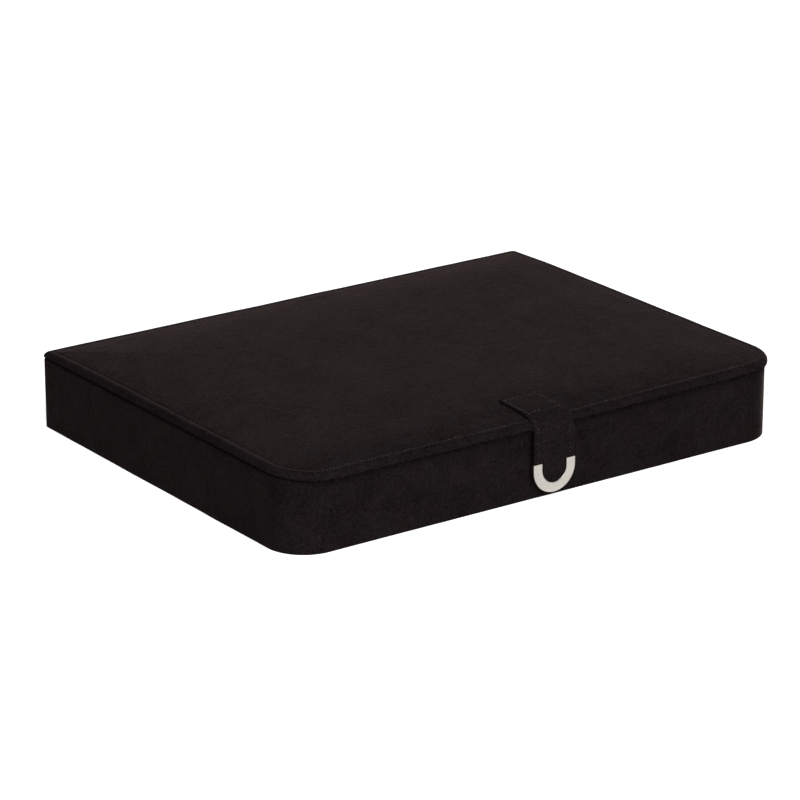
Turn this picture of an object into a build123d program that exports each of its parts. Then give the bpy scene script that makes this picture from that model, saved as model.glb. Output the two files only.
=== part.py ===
from build123d import *
import math
import os

# Flat cloth-covered jewellery case, in millimetres. The origin is the middle of the footprint
# of the base, on the surface that it stands on. +X is the right-hand side, -Y is the front
# with the closing tab, and +Z is up. The lid is closed and the tab hangs down.

os.makedirs("parts", exist_ok=True)

# Outside of the base
case_width = 368.0
case_depth = 279.0
rim_height = 46.5
front_corner_radius = 28.0
back_corner_radius = 1.5

# Boards, card and cloth of the base
cover_thickness = 0.6
wall_thickness = 4.0
floor_thickness = 3.0
sheet_thickness = 0.4
sheet_inset = 3.0
floor_flange_width = 12.0
turn_in_height = 8.0
rim_round = 0.5
lining_thickness = 1.0
lining_drop = 2.5
floor_pad_thickness = 1.2
card_gap = 0.3

# Sections inside the base
divider_thickness = 3.0
divider_drop = 0.5
divider_round = 1.2
long_divider_count = 3
cross_divider_count = 5
lap_gap = 0.2

# Lid
parting_gap = 0.3
lid_side_overhang = 0.8
lid_front_overhang = 2.9
lid_board_thickness = 2.0
lid_board_round = 1.5
lid_foam_edge_thickness = 0.6
lid_edge_radius = 2.6
lid_corner_flat = 0.5
lid_lower_round = 0.6
lid_edge_drop = 0.4
lid_flange_width = 15.0
lid_lining_thickness = 2.0
lid_lining_gap = 1.0
lid_lining_round = 1.0

# Sewn channel round the lid
seam_inset = 6.7
seam_width = 1.2
seam_depth = 1.1
seam_corner_radius = 4.0
seam_wall_flat = 0.1
thread_diameter = 0.6

# Cloth hinge on the back
hinge_cloth_thickness = 0.8
hinge_cloth_side_inset = 8.0
hinge_cloth_drop = 15.0
hinge_cloth_rise = 1.8

# Strap with the closing tab
strap_width = 29.8
strap_thickness = 1.8
strap_length_on_lid = 33.3
strap_bend_radius = 4.7
strap_hinge_gap = 0.3
strap_corner_radius = 1.0
strap_pocket_margin = 3.6
strap_pocket_below_bend = 4.0

# Metal tip of the tab
tip_bottom = 4.5
tip_wall_thickness = 0.35
tip_band_width = 6.2
tip_leg_length = 4.0
tip_side_gap = 0.15
tip_edge_round = 0.2

# Magnetic closure
closure_below_rim = 17.0
closure_diameter = 16.0
closure_gap = 0.3
keeper_thickness = 1.0
magnet_diameter = 13.2
magnet_thickness = 2.0
magnet_side_gap = 0.1
magnet_sunk = 0.1
cup_base_thickness = 0.5
prong_width = 3.0
prong_thickness = 0.4
prong_spacing = 5.0
prong_foot_length = 3.5
prong_gap = 0.2
washer_diameter = 14.0
keeper_washer_thickness = 0.5
cup_washer_thickness = 0.4

# Sewing on the strap
stitch_pitch = 2.4
stitch_length = 1.8
stitch_width = 0.45
stitch_height = 0.25
stitch_side_inset = 2.6
stitch_back_inset = 2.2
stitch_front_inset = 8.0

# Heights and insets that follow from the sizes above
floor_bottom = sheet_thickness + cover_thickness
floor_top = floor_bottom + floor_thickness
wall_top = rim_height - cover_thickness
lining_top = rim_height - lining_drop
turn_in_bottom = rim_height - turn_in_height
section_floor = floor_top + floor_pad_thickness
divider_top = lining_top - divider_drop
wall_inner_inset = cover_thickness + wall_thickness
turn_in_inset = wall_inner_inset + cover_thickness
interior_inset = turn_in_inset + lining_thickness
interior_width = case_width - 2 * interior_inset
interior_depth = case_depth - 2 * interior_inset
front_face = -case_depth / 2
back_face = case_depth / 2

lid_bottom = rim_height + parting_gap
lid_board_bottom = lid_bottom + cover_thickness
lid_board_top = lid_board_bottom + lid_board_thickness
core_edge_top = lid_board_top + lid_foam_edge_thickness
seam_bottom = core_edge_top + cover_thickness
lid_top = seam_bottom + seam_depth
band_top = lid_top - lid_edge_drop
seam_wall_round = band_top - seam_bottom - seam_wall_flat
pad_edge_round = seam_depth - seam_wall_flat
pad_inset = seam_inset + seam_width
lid_back_radius = lid_edge_radius + lid_corner_flat
core_back_radius = lid_back_radius - cover_thickness
lid_front = front_face - lid_front_overhang

closure_height = rim_height - closure_below_rim
keeper_face = front_face - keeper_thickness
cup_face = keeper_face - closure_gap
magnet_face = cup_face - magnet_sunk
magnet_back_face = magnet_face - magnet_thickness
wall_inner_face = front_face + wall_inner_inset
keeper_foot_y = wall_inner_face + keeper_washer_thickness
keeper_pocket_depth = keeper_washer_thickness + prong_thickness + prong_gap

strap_inner_face = magnet_back_face - cup_base_thickness
strap_outer_face = strap_inner_face - strap_thickness
strap_top = lid_top + strap_thickness
strap_middle_z = lid_top + strap_thickness / 2
bend_center_y = strap_inner_face + strap_bend_radius
bend_center_z = lid_top - strap_bend_radius
bend_middle_radius = strap_bend_radius + strap_thickness / 2
hinge_line_y = bend_center_y - bend_middle_radius * math.sin(math.radians(45))
hinge_line_z = bend_center_z + bend_middle_radius * math.cos(math.radians(45))
nose_spacing = strap_thickness + strap_hinge_gap
nose_turn = 45 - 2 * math.degrees(math.asin(nose_spacing / (2 * bend_middle_radius)))
strap_back_end = lid_front + strap_length_on_lid
tip_half_width = strap_width / 2 + tip_side_gap + tip_wall_thickness
tip_round_z = tip_bottom + tip_half_width
tip_top = tip_round_z + tip_leg_length
strap_end = tip_round_z - strap_width / 2
strap_middle_y = strap_inner_face - strap_thickness / 2
pocket_depth = cup_washer_thickness + prong_thickness + prong_gap
pocket_inner_y = strap_middle_y + pocket_depth / 2
pocket_top = bend_center_z - strap_pocket_below_bend
pocket_half_width = strap_width / 2 - strap_pocket_margin
cup_foot_y = pocket_inner_y - cup_washer_thickness


def plan_line(half_width, front, back, front_radius, back_radius):
    """Draw a plan with round front corners and nearly square back corners."""
    FilletPolyline(
        (-half_width, back),
        (-half_width, front),
        (half_width, front),
        (half_width, back),
        radius=[back_radius, front_radius, front_radius, back_radius],
        close=True,
    )


def base_outline(inset, mode=Mode.ADD):
    """Fill the plan of the base, drawn in by an inset."""
    with BuildLine() as plan:
        plan_line(
            case_width / 2 - inset,
            front_face + inset,
            back_face - inset,
            front_corner_radius - inset,
            max(back_corner_radius - inset, 0),
        )
    make_face(plan.line, mode=mode)


def lid_line(inset, back_radius):
    """Draw the plan of the lid, drawn in by an inset."""
    plan_line(
        case_width / 2 + lid_side_overhang - inset,
        lid_front + inset,
        back_face - inset,
        front_corner_radius + lid_side_overhang - inset,
        back_radius,
    )


def lid_outline(inset, back_radius, mode=Mode.ADD):
    """Fill the plan of the lid, drawn in by an inset."""
    with BuildLine() as plan:
        lid_line(inset, back_radius)
    make_face(plan.line, mode=mode)


def base_ring(outer_inset, inner_inset, bottom, top):
    """Add an upright ring that follows the plan of the base."""
    with BuildSketch(Plane.XY.offset(bottom)) as profile:
        base_outline(outer_inset)
        base_outline(inner_inset, mode=Mode.SUBTRACT)
    extrude(profile.sketch, amount=top - bottom)


def base_slab(inset, bottom, thickness):
    """Add a flat slab that follows the plan of the base."""
    with BuildSketch(Plane.XY.offset(bottom)) as profile:
        base_outline(inset)
    extrude(profile.sketch, amount=thickness)


def lid_slab(inset, back_radius, bottom, thickness, mode=Mode.ADD):
    """Add or cut a flat slab that follows the plan of the lid."""
    with BuildSketch(Plane.XY.offset(bottom)) as profile:
        lid_outline(inset, back_radius)
    extrude(profile.sketch, amount=thickness, mode=mode)


def wall_board(x_low, x_high, y_low, y_high):
    """Add the stretch of the wall ring that lies between the limits."""
    with BuildSketch(Plane.XY.offset(floor_top)) as profile:
        base_outline(cover_thickness)
        base_outline(wall_inner_inset, mode=Mode.SUBTRACT)
        with Locations(((x_low + x_high) / 2, (y_low + y_high) / 2)):
            Rectangle(x_high - x_low, y_high - y_low, mode=Mode.INTERSECT)
    extrude(profile.sketch, amount=wall_top - floor_top)


def disc(face_y, thickness, diameter, mode=Mode.ADD):
    """Add or cut a disc on the closure's axis that reaches back from face_y."""
    with BuildSketch(Plane.XZ.offset(-face_y)) as profile:
        with Locations((0, closure_height)):
            Circle(diameter / 2)
    extrude(profile.sketch, amount=-thickness, mode=mode)


def prong_slots(face_y, depth):
    """Cut the two slots that the prongs pass through, reaching back from face_y."""
    with BuildSketch(Plane.XZ.offset(-face_y)) as profile:
        with Locations((-prong_spacing / 2, closure_height), (prong_spacing / 2, closure_height)):
            Rectangle(prong_thickness + 2 * prong_gap, prong_width + 2 * prong_gap)
    extrude(profile.sketch, amount=-depth, mode=Mode.SUBTRACT)


def prongs(root_y, foot_y):
    """Add two prongs from root_y to foot_y, with their ends bent flat away from each other."""
    toward_foot = math.copysign(1, foot_y - root_y)
    for side in (-1, 1):
        with Locations((side * prong_spacing / 2, (root_y + foot_y) / 2, closure_height)):
            Box(prong_thickness, abs(foot_y - root_y), prong_width)
        foot_x = side * (prong_spacing + prong_foot_length - prong_thickness) / 2
        with Locations((foot_x, foot_y + toward_foot * prong_thickness / 2, closure_height)):
            Box(prong_foot_length, prong_thickness, prong_width)


def tongue(half_width, top, mode=Mode.ADD):
    """Fill a tongue with a half-round lower end, as seen from the front."""
    with BuildLine() as rim:
        Polyline(
            (half_width, tip_round_z),
            (half_width, top),
            (-half_width, top),
            (-half_width, tip_round_z),
        )
        CenterArc((0, tip_round_z), half_width, 180, 180)
    make_face(rim.line, mode=mode)


def divider_places(span, count):
    """List the middles of evenly spaced dividers across a span, from its middle."""
    pitch = (span + divider_thickness) / (count + 1)
    return [(number - (count - 1) / 2) * pitch for number in range(count)]


def divider_profile(length, slot_places, slot_bottom, slot_top):
    """Fill an upright divider panel with half-lap slots."""
    with Locations((0, (section_floor + divider_top) / 2)):
        Rectangle(length, divider_top - section_floor)
    for place in slot_places:
        with Locations((place, (slot_bottom + slot_top) / 2)):
            Rectangle(divider_thickness + lap_gap, slot_top - slot_bottom, mode=Mode.SUBTRACT)


def stitch_places(first, last):
    """List evenly spaced stitch middles that fill the stretch between two places."""
    count = max(2, round((last - first) / stitch_pitch))
    return [first + (number + 0.5) * (last - first) / count for number in range(count)]


# Base: what it stands on
with BuildPart() as bottom_sheet:
    base_slab(sheet_inset, 0, sheet_thickness)
bottom_sheet.part.label = "bottom_sheet"
export_step(bottom_sheet.part, "parts/bottom_sheet.step")

with BuildPart() as base_filler_card:
    base_slab(floor_flange_width + card_gap, sheet_thickness, cover_thickness)
base_filler_card.part.label = "base_filler_card"
export_step(base_filler_card.part, "parts/base_filler_card.step")

with BuildPart() as floor_board:
    base_slab(cover_thickness, floor_bottom, floor_thickness)
floor_board.part.label = "floor_board"
export_step(floor_board.part, "parts/floor_board.step")

# Base: boards of the wall, straight on four sides and bent round the two front corners
corner_x = case_width / 2 - front_corner_radius
corner_y = front_face + front_corner_radius
side_wall_inner_x = case_width / 2 - wall_inner_inset

with BuildPart() as front_wall_board:
    wall_board(-corner_x, corner_x, front_face, corner_y)
    prong_slots(front_face + cover_thickness, wall_thickness)
front_wall_board.part.label = "front_wall_board"
export_step(front_wall_board.part, "parts/front_wall_board.step")

with BuildPart() as back_wall_board:
    wall_board(-side_wall_inner_x, side_wall_inner_x, 0, back_face)
back_wall_board.part.label = "back_wall_board"
export_step(back_wall_board.part, "parts/back_wall_board.step")

for side_name, side in (("left", -1), ("right", 1)):
    side_wall_limits = sorted((side * side_wall_inner_x, side * case_width / 2))
    with BuildPart() as side_wall_board:
        wall_board(*side_wall_limits, corner_y, back_face)
    side_wall_board.part.label = f"{side_name}_wall_board"
    export_step(side_wall_board.part, f"parts/{side_name}_wall_board.step")

    corner_limits = sorted((side * corner_x, side * case_width / 2))
    with BuildPart() as corner_board:
        wall_board(*corner_limits, front_face, corner_y)
    corner_board.part.label = f"{side_name}_corner_board"
    export_step(corner_board.part, f"parts/{side_name}_corner_board.step")

# Base: outer cloth, glued up the wall, over the rim and under the floor
with BuildPart() as base_cover:
    base_ring(0, cover_thickness, sheet_thickness, rim_height)
    base_ring(cover_thickness, floor_flange_width, sheet_thickness, floor_bottom)
    base_ring(cover_thickness, turn_in_inset, wall_top, rim_height)
    base_ring(wall_inner_inset, turn_in_inset, turn_in_bottom, wall_top)
    rim_edges = base_cover.faces().sort_by(Axis.Z)[-1].outer_wire().edges()
    fillet(rim_edges, radius=rim_round)
    prong_slots(front_face, cover_thickness)
base_cover.part.label = "base_cover"
export_step(base_cover.part, "parts/base_cover.step")

# Base: velvet-faced card against the wall, with room behind it for the closure's prongs
with BuildPart() as wall_lining:
    base_ring(turn_in_inset, interior_inset, floor_top, lining_top)
    base_ring(wall_inner_inset, turn_in_inset, floor_top, turn_in_bottom)
    disc(wall_inner_face, keeper_pocket_depth, washer_diameter + 2 * prong_gap, mode=Mode.SUBTRACT)
wall_lining.part.label = "wall_lining"
export_step(wall_lining.part, "parts/wall_lining.step")

with BuildPart() as floor_pad:
    base_slab(interior_inset + card_gap, floor_top, floor_pad_thickness)
floor_pad.part.label = "floor_pad"
export_step(floor_pad.part, "parts/floor_pad.step")

# Sections: dividers that lap half into each other, long ones from above and cross ones from below
long_places = divider_places(interior_depth, long_divider_count)
cross_places = divider_places(interior_width, cross_divider_count)
long_length = interior_width - 2 * card_gap
cross_length = interior_depth - 2 * card_gap
lap_height = (section_floor + divider_top) / 2

for number, place in enumerate(long_places, start=1):
    with BuildPart() as long_divider:
        with BuildSketch(Plane.XZ.offset(-place)):
            divider_profile(long_length, cross_places, lap_height - lap_gap / 2, divider_top)
        extrude(amount=divider_thickness / 2, both=True)
        fillet(long_divider.edges().group_by(Axis.Z)[-1].filter_by(Axis.X), radius=divider_round)
    long_divider.part.label = f"long_divider_{number}"
    export_step(long_divider.part, f"parts/long_divider_{number}.step")

for number, place in enumerate(cross_places, start=1):
    with BuildPart() as cross_divider:
        with BuildSketch(Plane.YZ.offset(place)):
            divider_profile(cross_length, long_places, section_floor, lap_height + lap_gap / 2)
        extrude(amount=divider_thickness / 2, both=True)
        fillet(cross_divider.edges().group_by(Axis.Z)[-1].filter_by(Axis.Y), radius=divider_round)
    cross_divider.part.label = f"cross_divider_{number}"
    export_step(cross_divider.part, f"parts/cross_divider_{number}.step")

# Closure on the base: steel keeper disc, held by two prongs bent over a washer
with BuildPart() as keeper_plate:
    disc(keeper_face, keeper_thickness, closure_diameter)
    prongs(front_face, keeper_foot_y)
keeper_plate.part.label = "keeper_plate"
export_step(keeper_plate.part, "parts/keeper_plate.step")

with BuildPart() as keeper_washer:
    disc(wall_inner_face, keeper_washer_thickness, washer_diameter)
    prong_slots(wall_inner_face, keeper_washer_thickness)
keeper_washer.part.label = "keeper_washer"
export_step(keeper_washer.part, "parts/keeper_washer.step")

# Lid: board with a rounded upper edge
with BuildPart() as lid_board:
    lid_slab(cover_thickness, core_back_radius, lid_board_bottom, lid_board_thickness)
    fillet(lid_board.faces().sort_by(Axis.Z)[-1].edges(), radius=lid_board_round)
lid_board.part.label = "lid_board"
export_step(lid_board.part, "parts/lid_board.step")

# Lid: the space that the cover wraps, filled by the board and the foam
with BuildPart() as lid_core:
    lid_slab(cover_thickness, core_back_radius, lid_board_bottom, core_edge_top - lid_board_bottom)
    fillet(lid_core.faces().sort_by(Axis.Z)[-1].edges(), radius=lid_edge_radius - cover_thickness)
    lid_slab(pad_inset + cover_thickness, seam_corner_radius, core_edge_top, seam_depth)
    fillet(lid_core.faces().sort_by(Axis.Z)[-1].edges(), radius=pad_edge_round - cover_thickness)

with BuildPart() as lid_foam:
    add(lid_core.part)
    split(bisect_by=Plane.XY.offset(lid_board_top), keep=Keep.TOP)
lid_foam.part.label = "lid_foam"
export_step(lid_foam.part, "parts/lid_foam.step")

# Lid: cover with a rolled edge, a sewn channel, a raised middle and a hem turned under
with BuildPart() as lid_cover:
    lid_slab(0, lid_back_radius, lid_bottom, band_top - lid_bottom)
    fillet(lid_cover.faces().sort_by(Axis.Z)[-1].edges(), radius=lid_edge_radius)
    fillet(lid_cover.faces().sort_by(Axis.Z)[0].edges(), radius=lid_lower_round)
    lid_slab(seam_inset, seam_corner_radius, seam_bottom, band_top - seam_bottom, mode=Mode.SUBTRACT)
    channel_edges = lid_cover.faces().filter_by(Plane.XY).sort_by(Axis.Z)[-1].inner_wires()[0].edges()
    fillet(channel_edges, radius=seam_wall_round)
    lid_slab(pad_inset, seam_corner_radius, seam_bottom, seam_depth)
    fillet(lid_cover.faces().sort_by(Axis.Z)[-1].edges(), radius=pad_edge_round)
    add(lid_core.part, mode=Mode.SUBTRACT)
    lid_slab(lid_flange_width, seam_corner_radius, lid_bottom, cover_thickness, mode=Mode.SUBTRACT)
lid_cover.part.label = "lid_cover"
export_step(lid_cover.part, "parts/lid_cover.step")

with BuildPart() as lid_filler_card:
    lid_slab(lid_flange_width + card_gap, seam_corner_radius - card_gap, lid_bottom, cover_thickness)
lid_filler_card.part.label = "lid_filler_card"
export_step(lid_filler_card.part, "parts/lid_filler_card.step")

# Lid: padded velvet panel that drops just inside the wall lining
with BuildPart() as lid_lining:
    base_slab(interior_inset + lid_lining_gap, lid_bottom - lid_lining_thickness, lid_lining_thickness)
    fillet(lid_lining.faces().sort_by(Axis.Z)[0].edges(), radius=lid_lining_round)
lid_lining.part.label = "lid_lining"
export_step(lid_lining.part, "parts/lid_lining.step")

# Lid: one run of thread lying in the sewn channel
with BuildPart() as lid_seam_thread:
    with BuildLine(Plane.XY.offset(seam_bottom + thread_diameter / 2)) as seam_path:
        lid_line(seam_inset + seam_width / 2, seam_corner_radius)
    with BuildSketch(Plane(origin=seam_path.line @ 0, z_dir=seam_path.line % 0)):
        Circle(thread_diameter / 2)
    sweep(path=seam_path.line)
lid_seam_thread.part.label = "lid_seam_thread"
export_step(lid_seam_thread.part, "parts/lid_seam_thread.step")

# Hinge: strip of cloth glued to the back of the base and the back edge of the lid
with BuildPart() as hinge_cloth:
    hinge_cloth_bottom = rim_height - hinge_cloth_drop
    hinge_cloth_top = lid_bottom + hinge_cloth_rise
    with BuildSketch(Plane.XZ.offset(-back_face)):
        with Locations((0, (hinge_cloth_bottom + hinge_cloth_top) / 2)):
            Rectangle(case_width - 2 * hinge_cloth_side_inset, hinge_cloth_top - hinge_cloth_bottom)
    extrude(amount=-hinge_cloth_thickness)
hinge_cloth.part.label = "hinge_cloth"
export_step(hinge_cloth.part, "parts/hinge_cloth.step")

# Strap: the end that is sewn on the lid and rounds into the bend, with a round nose
with BuildPart() as strap_on_lid:
    with BuildSketch(Plane.YZ):
        with BuildLine():
            Line((strap_back_end, strap_middle_z), (bend_center_y, strap_middle_z))
            bend_start = CenterArc((bend_center_y, bend_center_z), bend_middle_radius, 90, nose_turn)
        trace(line_width=strap_thickness)
        with Locations(bend_start @ 1):
            Circle(strap_thickness / 2)
    extrude(amount=strap_width / 2, both=True)
    back_corners = strap_on_lid.faces().sort_by(Axis.Y)[-1].edges().filter_by(Axis.Z)
    fillet(back_corners, radius=strap_corner_radius)
strap_on_lid.part.label = "strap_on_lid"
export_step(strap_on_lid.part, "parts/strap_on_lid.step")

# Strap: the hanging tab, from its hinge line in the bend down to its round end
with BuildPart() as tab_flap:
    with BuildSketch(Plane.YZ):
        with BuildLine():
            CenterArc((bend_center_y, bend_center_z), bend_middle_radius, 135, 45)
            Line((strap_middle_y, bend_center_z), (strap_middle_y, strap_end))
        trace(line_width=strap_thickness)
        with Locations((hinge_line_y, hinge_line_z)):
            Circle(strap_thickness / 2)
    extrude(amount=strap_width / 2, both=True)
    with BuildSketch(Plane.XZ.offset(-front_face)):
        tongue(strap_width / 2, strap_top)
    extrude(amount=front_face - strap_outer_face, mode=Mode.INTERSECT)
    with BuildSketch(Plane.XZ.offset(-strap_middle_y)):
        tongue(pocket_half_width, pocket_top)
    extrude(amount=pocket_depth / 2, both=True, mode=Mode.SUBTRACT)
    prong_slots(pocket_inner_y, strap_inner_face - pocket_inner_y)
tab_flap.part.label = "tab_flap"
export_step(tab_flap.part, "parts/tab_flap.step")

with BuildPart() as tab_stiffener:
    with BuildSketch(Plane.XZ.offset(-strap_middle_y)):
        tongue(pocket_half_width, pocket_top)
        with Locations((0, closure_height)):
            Circle(washer_diameter / 2 + prong_gap, mode=Mode.SUBTRACT)
    extrude(amount=pocket_depth / 2, both=True)
tab_stiffener.part.label = "tab_stiffener"
export_step(tab_stiffener.part, "parts/tab_stiffener.step")

# Metal tip: a U of channel section that wraps the strap's round end
with BuildPart() as tab_tip:
    with BuildSketch(Plane.XZ.offset(-strap_outer_face + tip_wall_thickness)):
        tongue(tip_half_width, tip_top)
        tongue(tip_half_width - tip_band_width, tip_top, mode=Mode.SUBTRACT)
    extrude(amount=-(strap_thickness + 2 * tip_wall_thickness))
    tip_faces = tab_tip.faces().sort_by(Axis.Y)
    fillet(tip_faces[0].edges() + tip_faces[-1].edges(), radius=tip_edge_round)
    with BuildSketch(Plane.XZ.offset(-strap_outer_face)):
        tongue(strap_width / 2 + tip_side_gap, tip_top)
    extrude(amount=-strap_thickness, mode=Mode.SUBTRACT)
tab_tip.part.label = "tab_tip"
export_step(tab_tip.part, "parts/tab_tip.step")

# Closure on the tab: magnet in a steel cup, held by two prongs bent over a washer
with BuildPart() as magnet_cup:
    disc(strap_inner_face, cup_face - strap_inner_face, closure_diameter)
    magnet_hole_diameter = magnet_diameter + 2 * magnet_side_gap
    disc(magnet_back_face, magnet_thickness + magnet_sunk, magnet_hole_diameter, mode=Mode.SUBTRACT)
    prongs(strap_inner_face, cup_foot_y)
magnet_cup.part.label = "magnet_cup"
export_step(magnet_cup.part, "parts/magnet_cup.step")

with BuildPart() as magnet:
    disc(magnet_back_face, magnet_thickness, magnet_diameter)
magnet.part.label = "magnet"
export_step(magnet.part, "parts/magnet.step")

with BuildPart() as cup_washer:
    disc(cup_foot_y, cup_washer_thickness, washer_diameter)
    prong_slots(cup_foot_y, cup_washer_thickness)
cup_washer.part.label = "cup_washer"
export_step(cup_washer.part, "parts/cup_washer.step")

# Sewing on the strap: a box of stitches on the lid and two side rows down the tab
row_x = strap_width / 2 - stitch_side_inset
row_back_y = strap_back_end - stitch_back_inset
row_cross_y = lid_front + stitch_front_inset
across_places = stitch_places(-row_x + stitch_length / 2, row_x - stitch_length / 2)
along_places = stitch_places(bend_center_y, row_back_y)
down_places = stitch_places(tip_top, bend_center_z)

with BuildPart() as strap_stitching:
    stitch_z = strap_top + stitch_height / 2
    with Locations(*[(x, y, stitch_z) for x in (-row_x, row_x) for y in along_places]):
        Box(stitch_width, stitch_length, stitch_height)
    with Locations(*[(x, y, stitch_z) for x in across_places for y in (row_back_y, row_cross_y)]):
        Box(stitch_length, stitch_width, stitch_height)
strap_stitching.part.label = "strap_stitching"
export_step(strap_stitching.part, "parts/strap_stitching.step")

with BuildPart() as tab_stitching:
    stitch_y = strap_outer_face - stitch_height / 2
    with Locations(*[(x, stitch_y, z) for x in (-row_x, row_x) for z in down_places]):
        Box(stitch_width, stitch_height, stitch_length)
tab_stitching.part.label = "tab_stitching"
export_step(tab_stitching.part, "parts/tab_stitching.step")
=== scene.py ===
import math

import bpy
import numpy as np
from mathutils import Matrix, Vector


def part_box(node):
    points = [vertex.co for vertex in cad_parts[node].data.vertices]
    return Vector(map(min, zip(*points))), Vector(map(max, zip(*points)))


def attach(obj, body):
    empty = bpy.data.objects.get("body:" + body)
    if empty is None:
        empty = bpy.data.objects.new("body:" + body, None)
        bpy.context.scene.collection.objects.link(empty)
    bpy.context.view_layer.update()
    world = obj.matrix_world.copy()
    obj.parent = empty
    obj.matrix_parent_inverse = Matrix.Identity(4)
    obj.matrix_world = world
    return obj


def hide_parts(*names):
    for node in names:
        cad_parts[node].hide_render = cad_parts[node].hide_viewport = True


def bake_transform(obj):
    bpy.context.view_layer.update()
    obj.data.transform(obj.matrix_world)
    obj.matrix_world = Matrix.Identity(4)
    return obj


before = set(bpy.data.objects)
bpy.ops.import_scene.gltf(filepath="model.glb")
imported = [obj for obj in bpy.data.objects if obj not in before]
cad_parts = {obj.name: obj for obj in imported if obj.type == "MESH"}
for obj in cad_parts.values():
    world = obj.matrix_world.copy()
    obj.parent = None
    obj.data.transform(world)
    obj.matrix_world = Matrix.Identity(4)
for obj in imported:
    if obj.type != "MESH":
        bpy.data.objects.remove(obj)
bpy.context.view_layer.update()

# Flat cloth-covered jewellery case. The pieces are worked out in millimetres in the frame of the
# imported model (+X right, -Y front, +Z up) and turned into metres when their meshes are made.
MM = 0.001


def box_mm(node):
    """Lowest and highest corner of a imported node, in millimetres."""
    low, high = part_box(node)
    return [value / MM for value in low], [value / MM for value in high]


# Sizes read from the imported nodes
COVER_LOW, COVER_HIGH = box_mm("base_cover")
LID_LOW, LID_HIGH = box_mm("lid_cover")
FLAP_LOW = box_mm("tab_flap")[0]
TIP_LOW, TIP_HIGH = box_mm("tab_tip")
PANEL_LOW, PANEL_HIGH = box_mm("lid_lining")
CLOTH_LOW, CLOTH_HIGH = box_mm("hinge_cloth")
BOARD_TOP = box_mm("lid_board")[1][2]

# Sizes that the nodes' boxes don't give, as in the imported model
INNER_CORNER = 28.0
BACK_CORNER = 1.5
CLOTH = 0.6
WALL_INSET = 4.6
FLOOR_FLANGE = 12.0
TURN_IN_BOTTOM = 38.5
STRAP_INNER = FLAP_LOW[1] + 1.8
LID_FLANGE = 15.0
STITCH_PITCH = 2.4

# Sizes of the soft pieces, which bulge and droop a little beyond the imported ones
FRONT_CORNER = 25.8
LID_LEFT, LID_RIGHT = LID_LOW[0] + 0.05, LID_HIGH[0] + 0.1
LID_FRONT, LID_BACK = LID_LOW[1] - 1.0, LID_HIGH[1] - 0.2
LID_FRONT_CORNER = 30.0
LID_BACK_CORNER = 2.4
SEAM_BACK_CORNER = 3.0
SEAM_INSET = 5.7
STRAP_X = 0.9
STRAP_HALF = 14.9


# ------------------------------------------------------------------ shapes

def waves(points, size, seed, count=9):
    """Smooth unevenness from about -1 to 1 at each point, with features of the given size."""
    rng = np.random.default_rng(seed)
    total = np.zeros(len(points))
    for _ in range(count):
        direction = rng.normal(size=3)
        direction /= np.linalg.norm(direction)
        length = size * rng.uniform(0.7, 1.6)
        total += np.sin(points @ direction * (2 * math.pi / length) + rng.uniform(0, 2 * math.pi))
    return total / math.sqrt(count)


def arc(center_a, center_b, radius_a, radius_b, start, end, count):
    """Points of an elliptic arc in a section plane, angles in degrees, ends included."""
    angles = np.radians(np.linspace(start, end, count))
    return [(center_a + radius_a * math.cos(t), center_b + radius_b * math.sin(t)) for t in angles]


def plan_ring(half_width, front, back, front_radius, back_radius, counts):
    """Plan with four round corners, from the front left corner on, anticlockwise from above."""
    corner_count, front_count, side_count, small_count, back_count = counts
    corners = (
        ((-half_width + front_radius, front + front_radius), front_radius, 180, corner_count),
        ((half_width - front_radius, front + front_radius), front_radius, 270, corner_count),
        ((half_width - back_radius, back - back_radius), back_radius, 0, small_count),
        ((-half_width + back_radius, back - back_radius), back_radius, 90, small_count),
    )
    straights = (front_count, side_count, back_count, side_count)
    arcs = []
    for (x, y), radius, start, count in corners:
        t = np.radians(np.linspace(start, start + 90, count + 1))
        arcs.append(np.stack([x + radius * np.cos(t), y + radius * np.sin(t)], 1))
    parts = []
    for k, count in enumerate(straights):
        parts.append(arcs[k])
        share = np.linspace(0, 1, count + 1)[1:-1, None]
        parts.append(arcs[k][-1] * (1 - share) + arcs[(k + 1) % 4][0] * share)
    return np.concatenate(parts)


def ring_normals(ring):
    """Outward unit normals of a plan ring."""
    along = np.roll(ring, -1, 0) - np.roll(ring, 1, 0)
    normals = np.stack([along[:, 1], -along[:, 0]], 1)
    return normals / np.linalg.norm(normals, axis=1)[:, None]


def at_height(ring, z):
    """Points of a plan ring at one height, or at a height for each point."""
    return np.column_stack([ring, np.full(len(ring), z)])


def make_mesh(name, points, faces, materials, sharp=None):
    """Smooth-shaded object from points in millimetres."""
    mesh = bpy.data.meshes.new(name)
    mesh.from_pydata((np.asarray(points) * MM).tolist(), [], faces)
    mesh.validate()
    mesh.update()
    mesh.shade_smooth()
    if sharp:
        mesh.set_sharp_from_angle(angle=math.radians(sharp))
    made = bpy.data.objects.new(name, mesh)
    bpy.context.scene.collection.objects.link(made)
    for material in materials:
        mesh.materials.append(material)
    return made


def loft_faces(ring_count, size, first=0, closed=False, inward=False):
    """Quads between rings of equal size, facing outward where the rings go from below to above."""
    faces = []
    for k in range(ring_count if closed else ring_count - 1):
        a = first + k * size
        b = first + (k + 1) % ring_count * size
        for i in range(size):
            j = (i + 1) % size
            faces.append((a + j, a + i, b + i, b + j) if inward else (a + i, a + j, b + j, b + i))
    return faces


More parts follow.
